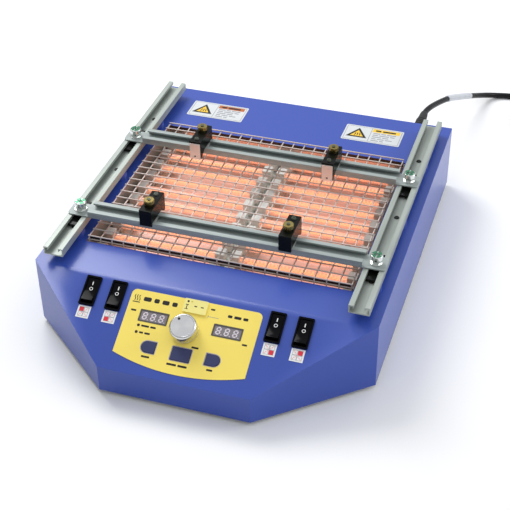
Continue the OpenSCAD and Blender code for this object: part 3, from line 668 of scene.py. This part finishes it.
def seven_segment(x, y, h, lean=0.12):
    """The outlines of an unlit figure eight about (x, y), in panel mm."""
    w, t = h * 0.54, h * 0.19
    out = []

    def segment(cx, cy, half, upright):
        a, b = half - t * 0.16, half - t * 0.62
        pts = [(-a, 0), (-b, t / 2), (b, t / 2), (a, 0), (b, -t / 2), (-b, -t / 2)]
        if upright:
            pts = [(py, px) for px, py in pts]
        out.append([(x + cx + px + lean * (cy + py), y + cy + py) for px, py in pts])

    for cy in (-h / 2, 0, h / 2):
        segment(0, cy, w / 2, False)
    for cx in (-w / 2, w / 2):
        for cy in (-h / 4, h / 4):
            segment(cx, cy, h / 4, True)
    return out


def displays():
    """A raised edge and three unlit digits with their points on each display."""
    for side, key in ((-1, "left"), (1, "right")):
        cx, cy = side * DISPLAY_X, -DISPLAY_S
        edge = bmesh.new()
        ring(edge, box_points(cx, cy, 33.6, 14.3, 0.8), box_points(cx, cy, 30.6, 11.3, 0.4), 0.2, 0.75)
        add_mesh("bezel_" + key, edge, bezel, place=PANEL)
        shapes = []
        for x in (cx - 9.6, cx, cx + 9.6):
            shapes += seven_segment(x - 0.6, cy, 7.6)
            shapes.append(disc_points(x + 3.4, cy - 4.1, 0.55, 12))
        marks("digits_" + key, shapes, digit, 0.2, 0.28)


def bars(rows):
    """Short bars that stand for printed words: (left x, s, widths, height)."""
    out = []
    for x, s, widths, h in rows:
        for w in widths:
            out.append(box_points(x + w / 2, -s, w, h, h * 0.3))
            x += w + h * 0.7
    return out


def heat_icon(x, y, size):
    """Three rising waves over a bar."""
    out = [box_points(x, y - size * 0.5, size * 0.95, size * 0.12, 0.2)]
    for k in (-1, 0, 1):
        left, right = [], []
        for i in range(13):
            v = i / 12
            px = x + k * size * 0.3 + size * 0.07 * math.sin(2 * math.pi * v)
            py = y + size * (-0.32 + 0.78 * v)
            left.append((px - size * 0.05, py))
            right.append((px + size * 0.05, py))
        out.append(right + left[::-1])
    return out


def panel_print():
    """Plain bars where the overlay has words, a heat sign, and a few lines at the socket."""
    dark = heat_icon(-67.5, -21.5, 9)
    dark += bars([(-60, 21, (9, 6, 8, 6), 5.0)])
    dark += bars([(-70.5, 36, (6.2,), 2.1), (62, 50.6, (5.6,), 2.1)])
    dark += bars([(-53.2, 52, (9, 6.4), 2.2), (-53.2, 60, (4.6, 6.4), 2.2)])
    dark += bars([(38, 22, (5, 8, 5.6), 3.2)])
    dark += bars([(17.5, 18, (4.8,), 2.0), (9, 64.8, (8,), 2.2)])
    dark += bars([(-42.5, 86, (9.4,), 2.2), (-12.5, 88.4, (11, 10.4), 2.4), (32, 86, (6.8,), 2.2)])
    dark.append(disc_points(-5.6, -16.3, 0.9, 16))
    marks("panel_print", dark, ink, OVERLAY_TOP, OVERLAY_TOP + 0.06)
    lines = [box_points(22.5, -26.8, 12, 0.5), box_points(16.5, -26.8, 0.5, 3)]
    marks("panel_lines", lines, ink_grey, OVERLAY_TOP, OVERLAY_TOP + 0.05)
    socket = [box_points(0.5, -19, 3.2, 1.2), box_points(8, -19, 3.2, 1.2),
              disc_points(-9.2, -14.4, 1.3, 20), box_points(-9.5, -18.4, 3.6, 0.8),
              box_points(-9.5, -23.4, 3.6, 0.8), box_points(-9.5, -20.9, 0.9, 4.6)]
    marks("socket_print", socket, ink, 2.5, 2.54)


def side_key_points(x, s, side, gap):
    """A side button's outline with a gap around it: square on its inner side, round on its outer."""
    a, b = 8 + gap, 6.5 + gap
    pts = [(-a, -b)]
    pts += [(a - b + b * math.cos(math.radians(t)), b * math.sin(math.radians(t)))
            for t in range(-90, 91, 15)]
    pts.append((-a, b))
    return [(x + side * px, py - s) for px, py in pts]


def key_edges():
    """The pale printed line around each button."""
    outlines = {
        "start": (box_points(0, -75.5, 24, 17.4, 1.6), box_points(0, -75.5, 22.5, 15.9, 0.9)),
        "mode": [side_key_points(-37.8, 74.5, -1, gap) for gap in (1.2, 0.45)],
        "unit": [side_key_points(35.8, 74.5, 1, gap) for gap in (1.2, 0.45)],
    }
    for key, (outer, inner) in outlines.items():
        bm = bmesh.new()
        ring(bm, outer, inner, OVERLAY_TOP, OVERLAY_TOP + 0.05)
        add_mesh("edge_" + key, bm, key_edge, place=PANEL)


displays()
panel_print()
key_edges()


def stickers():
    """A map of the four heater zones below each switch, with the switch's own zone in red."""
    frames, reds, pinks = bmesh.new(), [], []
    own_zones = [(-1, 1), (-1, -1), (1, -1), (1, 1)]
    for x, own in zip(SWITCH_X, own_zones):
        for ax in (-1, 1):
            for ay in (-1, 1):
                cx, cy = x + ax * 2.9, ay * 2.9 - STICKER_S
                ring(frames, box_points(cx, cy, 5.6, 5.6), box_points(cx, cy, 4.9, 4.9), 0.3, 0.35)
                if (ax, ay) == own:
                    reds.append(box_points(cx, cy, 5.0, 5.0))
                else:
                    pinks += [box_points(cx + t, cy + t * ax * ay, 1.2, 1.2) for t in (-1.4, 0, 1.4)]
    add_mesh("sticker_lines", frames, ink_grey, place=PANEL)
    marks("sticker_reds", reds, red, 0.3, 0.36)
    marks("sticker_pinks", pinks, pink, 0.3, 0.34)


paint("zone_stickers", white)
stickers()

# ------------------------------------------------------------------ rocker switches


# Rocker sizes in mm, and its tilt at rest
ROCKER_HALF_W = 6.8
ROCKER_HALF_L = 14
ROCKER_TILT = math.radians(-8)
MARK_LIFT = 0.06


def rocker_top(y):
    """Height in mm of a rocker's hollow face at a distance from its hinge."""
    return 4.1 + 2.3 * (y / ROCKER_HALF_L) ** 2


def rocker_row(bm, pts, lift):
    return [bm.verts.new((x * MM, y * MM, (rocker_top(y) + lift) * MM)) for x, y in pts]


def join_rows(bm, first, second):
    """Quads between two closed rows of the same number of points."""
    n = len(first)
    for i in range(n):
        j = (i + 1) % n
        bm.faces.new((first[i], first[j], second[j], second[i]))


def rocker_marks(bm):
    """A stroke on the upper half and a circle on the lower, on the hollow face."""
    stroke = [(-0.55, 6.2), (0.55, 6.2), (0.55, 8.2), (0.55, 10.2), (-0.55, 10.2), (-0.55, 8.2)]
    lower, upper = rocker_row(bm, stroke, 0), rocker_row(bm, stroke, MARK_LIFT)
    bm.faces.new(upper)
    join_rows(bm, lower, upper)
    outer, inner = (rocker_row(bm, disc_points(0, 1.6, r, 28), MARK_LIFT) for r in (2.1, 1.45))
    join_rows(bm, outer, inner)


def rockers():
    """Each rocker is a hollow-faced block with a wedge-shaped foot, pressed at its upper half."""
    for k, x in enumerate(SWITCH_X, 1):
        body = "rocker_%d" % k
        place = (PANEL @ Matrix.Translation((x * MM, -SWITCH_S * MM, -3 * MM))
                 @ Matrix.Rotation(ROCKER_TILT, 4, "X"))
        outline = [(y, rocker_top(y)) for y in [ROCKER_HALF_L * (i / 10 - 1) for i in range(21)]]
        outline += [(12.5, -3), (5, -6), (-5, -6), (-12.5, -3)]
        bm = bmesh.new()
        left, right = ([bm.verts.new((side * ROCKER_HALF_W * MM, y * MM, z * MM)) for y, z in outline]
                       for side in (-1, 1))
        bm.faces.new(left)
        bm.faces.new(right)
        join_rows(bm, left, right)
        bmesh.ops.recalc_face_normals(bm, faces=bm.faces)
        sharp = [e for e in bm.edges if e.calc_face_angle(0) > math.radians(30)]
        bmesh.ops.bevel(bm, geom=sharp, offset=0.5 * MM, segments=3, profile=0.5, affect="EDGES",
                        clamp_overlap=True)
        o = add_mesh("v_" + body, bm, gloss_black, body, place, smooth=40)
        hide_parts(body)
        bm = bmesh.new()
        rocker_marks(bm)
        add_mesh("marks_" + body, bm, white, body, place)


rockers()

# ------------------------------------------------------------------ knob


def knob_piece():
    """Turned knob with sixty fine grooves around its wall, a shallow dished face and a pointer dot."""
    place = PANEL @ Matrix.Translation((KNOB_X * MM, -KNOB_S * MM, (OVERLAY_TOP + 1) * MM))
    skirt = [(6.5, 0), (14.0, 0), (14.4, 0.5), (15.0, 2.2), (15.2, 2.6)]
    wall = [(15.2, 2.8), (15.2, 12.2)]
    face = [(15.05, 12.6), (14.6, 13.2), (13.8, 14.2), (13.3, 14.5), (12.9, 14.5), (12.6, 14.3),
            (9, 14.22), (5, 14.18), (1.6, 14.16), (0, 14.16)]

    def groove(i, k):
        on_wall = len(skirt) <= k < len(skirt) + len(wall)
        return -0.32 if on_wall and i % 3 == 0 else 0

    bm = bmesh.new()
    lathe(bm, skirt + wall + face, 180, groove)
    o = add_mesh("knob_turned", bm, knob_metal(), "setting_knob", place, smooth=32)
    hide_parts("knob")
    bm = bmesh.new()
    prism(bm, disc_points(-6.2, 7.4, 1.5, 24), 14.15, 14.34)
    add_mesh("knob_pointer", bm, ink, "setting_knob", place)


def knob_metal():
    """Turned face: fine rings about the axis that spread the light sideways."""
    m = material("knob_turned", (0.70, 0.70, 0.70), 0.15, 1.0, vary=0.02)
    t = m.node_tree
    b = t.nodes["Principled BSDF"]
    b.inputs["Anisotropic"].default_value = 0.92
    tangent = t.nodes.new("ShaderNodeTangent")
    tangent.direction_type = "RADIAL"
    tangent.axis = "Z"
    t.links.new(tangent.outputs["Tangent"], b.inputs["Tangent"])
    place = t.nodes.new("ShaderNodeTexCoord")
    rings = t.nodes.new("ShaderNodeTexWave")
    rings.wave_type = "RINGS"
    rings.rings_direction = "Z"
    rings.inputs["Scale"].default_value = 500
    t.links.new(place.outputs["Object"], rings.inputs["Vector"])
    u = t.nodes.new("ShaderNodeBump")
    u.inputs["Strength"].default_value = 0.2
    u.inputs["Distance"].default_value = 0.0001
    t.links.new(rings.outputs["Fac"], u.inputs["Height"])
    t.links.new(u.outputs["Normal"], b.inputs["Normal"])
    return m


knob_piece()

# ------------------------------------------------------------------ board holder


def lock_cap(key):
    """Tinted quarters on a locking screw's head, between the arms of its recess."""
    name = "lock_screw_" + key
    low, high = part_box(name)
    x, y = (low[0] + high[0]) / 2, (low[1] + high[1]) / 2
    gap, r = 0.7, 6.1
    start = math.asin(gap / r)
    bm = bmesh.new()
    for quarter in range(4):
        pts = [(gap, gap)]
        for i in range(9):
            a = start + (math.pi / 2 - 2 * start) * i / 8
            pts.append((r * math.cos(a), r * math.sin(a)))
        turn = quarter * math.pi / 2
        c, q = math.cos(turn), math.sin(turn)
        prism(bm, [(px * c - py * q, px * q + py * c) for px, py in pts], -0.05, 0.1)
    place = Matrix.Translation((x, y, high[2]))
    add_mesh("lock_cap_" + key, bm, green_zinc, name, place)


for name in ("rail_left", "rail_right"):
    rounded(name, rail_metal, 0.3, 2, 2.0)
for name in ("crossbar_front", "crossbar_rear"):
    rounded(name, bar_metal, 0.3, 2, 1.0)
for name in ("slide_nuts_front", "slide_nuts_rear"):
    rounded(name, black_metal, 0.3, 2, 1.0)
for k in ("fl", "fr", "rl", "rr"):
    rounded("lock_screw_" + k, chrome, 0.3, 2, 0.5)
    lock_cap(k)
    rounded("clamp_body_" + k, black_metal, 0.6, 3, 1.0)
    rounded("clamp_steel_" + k, jaw, 0.2, 2, 0.6)
    rounded("thumb_nut_" + k, brass, 0.15, 1, 0.4)

# ------------------------------------------------------------------ rear labels


LABEL_Y = 209.5
LABEL_TOP = 89.3


def label_print(x, header, key):
    """A heat sign in a triangle, a header and rows of short bars, all generic."""
    y = LABEL_Y
    z0, z1 = LABEL_TOP, LABEL_TOP + 0.06

    def put(name, shapes, mat, low=z0, high=z1):
        marks(name + key, shapes, mat, low, high, place=None)

    tri = [(x - 34, y - 10), (x - 6, y - 10), (x - 20, y + 13)]
    small = [(x - 28.6, y - 7.2), (x - 11.4, y - 7.2), (x - 20, y + 7.4)]
    put("triangle_", [tri], ink)
    put("triangle_in_", [small], amber, z0, z1 + 0.02)
    put("header_", [box_points(x + 16, y + 11.6, 36, 7.6)], header)
    put("split_", [box_points(x - 3.4, y, 0.7, 32)], ink_grey)
    frame_line = bmesh.new()
    ring(frame_line, box_points(x, y, 73, 33.6, 1.2), box_points(x, y, 71.8, 32.4, 0.6), z0, z1)
    add_mesh("frame_line_" + key, frame_line, ink_grey)
    waves = []
    for k in (-1, 0, 1):
        waves.append([(x - 20 + k * 3.4 - 0.5, y - 5.5), (x - 20 + k * 3.4 + 0.7, y - 5.5),
                      (x - 20 + k * 3.0 + 1.2, y - 2), (x - 20 + k * 2.4 + 0.5, y + 1.0),
                      (x - 20 + k * 2.4 - 0.5, y + 1.0), (x - 20 + k * 3.0 + 0.0, y - 2)])
    put("waves_", waves, ink, z1, z1 + 0.04)
    lines = []
    for row, widths in enumerate(((9, 6, 12), (7, 13, 6), (12, 8), (6, 9, 9), (10, 5))):
        cx = x
        for w in widths:
            lines.append(box_points(cx + w / 2, y + 5.0 - 4.4 * row, w, 1.9, 0.4))
            cx += w + 1.6
    put("lines_", lines, ink_grey)
    heads = [box_points(x + 5.5, y + 11.6, 7, 3.2, 0.5), box_points(x + 20, y + 11.6, 17, 3.2, 0.5)]
    put("heads_", heads, ink, z1, z1 + 0.04)


paint("rear_labels", label)
label_print(-109.5, header_brown, "left")
label_print(104, amber, "right")

# ------------------------------------------------------------------ floor, light


FLOOR_HALF = 6.0


def floor_plane():
    """A plain pale floor a hair below the feet."""
    bm = bmesh.new()
    bm.faces.new([bm.verts.new((x * FLOOR_HALF, y * FLOOR_HALF, 0))
                  for x, y in ((-1, -1), (1, -1), (1, 1), (-1, 1))])
    mesh = bpy.data.meshes.new("floor")
    bm.to_mesh(mesh)
    bm.free()
    mesh.materials.append(material("floor_pale", (0.93, 0.93, 0.93), 0.8, vary=0.01, grain=4))
    floor = bpy.data.objects.new("floor", mesh)
    floor.location.z = -0.0002
    scene.collection.objects.link(floor)


def sky():
    """White light that fades towards the left and below, so that the metal has something to show."""
    world = bpy.data.worlds.new("studio")
    scene.world = world
    world.use_nodes = True
    t = world.node_tree
    light = t.nodes["Background"]
    light.inputs["Color"].default_value = (0.95, 0.97, 1.0, 1)
    way = t.nodes.new("ShaderNodeTexCoord")
    tone = t.nodes.new("ShaderNodeVectorMath")
    tone.operation = "DOT_PRODUCT"
    tone.inputs[1].default_value = (0.30, 0.12, 0.62)
    t.links.new(way.outputs["Generated"], tone.inputs[0])
    level = t.nodes.new("ShaderNodeMapRange")
    level.inputs["From Min"].default_value = -0.25
    level.inputs["From Max"].default_value = 0.65
    level.inputs["To Min"].default_value = 0.04
    level.inputs["To Max"].default_value = 1.0
    t.links.new(tone.outputs["Value"], level.inputs["Value"])
    t.links.new(level.outputs["Result"], light.inputs["Strength"])


def lamps():
    """Two square lamps that aim at the object's middle: name, place, side in metres, watts."""
    target = Vector((0, 0, 0.05))
    for name, place, size, power in (("key", (-1.1, 0.9, 1.7), 1.1, 30),
                                     ("right", (1.9, 0.6, 1.0), 1.0, 7)):
        data = bpy.data.lights.new(name, "AREA")
        data.shape = "SQUARE"
        data.size = size
        data.energy = power
        o = bpy.data.objects.new(name, data)
        scene.collection.objects.link(o)
        o.location = place
        o.rotation_euler = (target - Vector(place)).to_track_quat("-Z", "Y").to_euler()


floor_plane()
sky()
lamps()
scene.view_settings.view_transform = "Standard"
